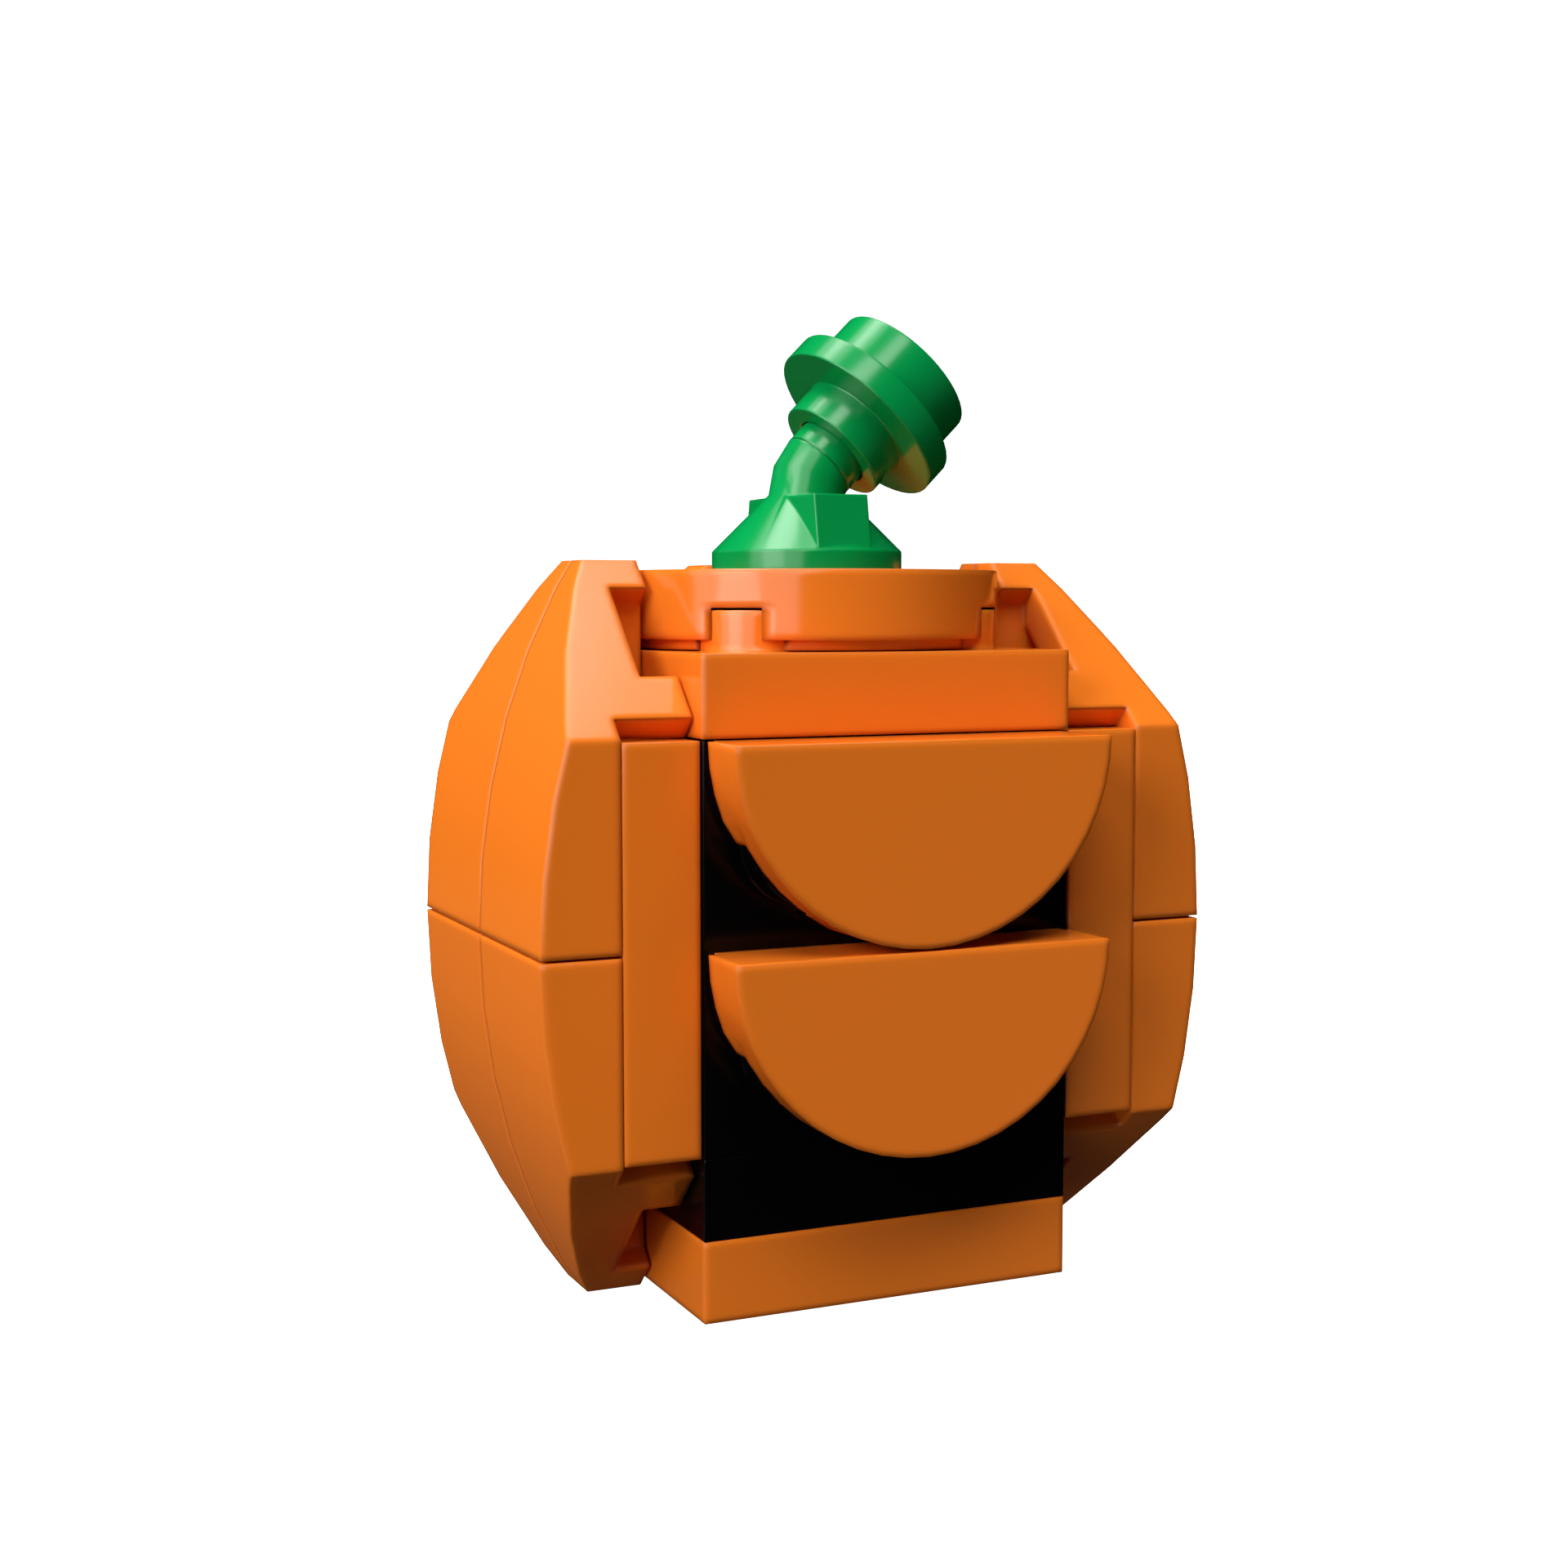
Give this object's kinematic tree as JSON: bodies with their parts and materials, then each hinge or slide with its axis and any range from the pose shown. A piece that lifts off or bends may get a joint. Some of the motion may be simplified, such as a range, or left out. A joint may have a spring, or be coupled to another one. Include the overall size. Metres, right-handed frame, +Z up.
{
  "type": "brick-built toy pumpkin lantern",
  "caption": "Palm-sized toy pumpkin lantern made of snap-together plastic bricks: black core with a half-round tile grin, curved orange shells on its sides, a round cap and a bent green stem.",
  "frame": {"origin": "on the ground under the middle of the whole, at the level of the lowest shell tips", "axes": "+Z up towards the stem, the grin looks along -Y, and the stem leans towards +X"},
  "size_m": [0.0286, 0.0256, 0.0398],
  "materials": {
    "orange_plastic": "smooth moulded gloss",
    "black_plastic": "smooth moulded gloss",
    "green_plastic": "smooth moulded gloss"
  },
  "bodies": {
    "root": {"base_plate": "orange_plastic", "black_plate": "black_plastic", "core_brick": "black_plastic", "top_plate": "orange_plastic", "cap_plate": "orange_plastic", "upper_tile": "orange_plastic", "lower_tile": "orange_plastic", "right_plate": "orange_plastic", "right_shell_front_upper": "orange_plastic", "right_shell_front_lower": "orange_plastic", "right_shell_back_upper": "orange_plastic", "right_shell_back_lower": "orange_plastic", "back_plate": "orange_plastic", "back_shell_right_upper": "orange_plastic", "back_shell_right_lower": "orange_plastic", "back_shell_left_upper": "orange_plastic", "back_shell_left_lower": "orange_plastic", "left_plate": "orange_plastic", "left_shell_front_upper": "orange_plastic", "left_shell_front_lower": "orange_plastic", "left_shell_back_upper": "orange_plastic", "left_shell_back_lower": "orange_plastic", "stem_tap": "green_plastic", "stem_plate": "green_plastic"}
  },
  "joints": []
}
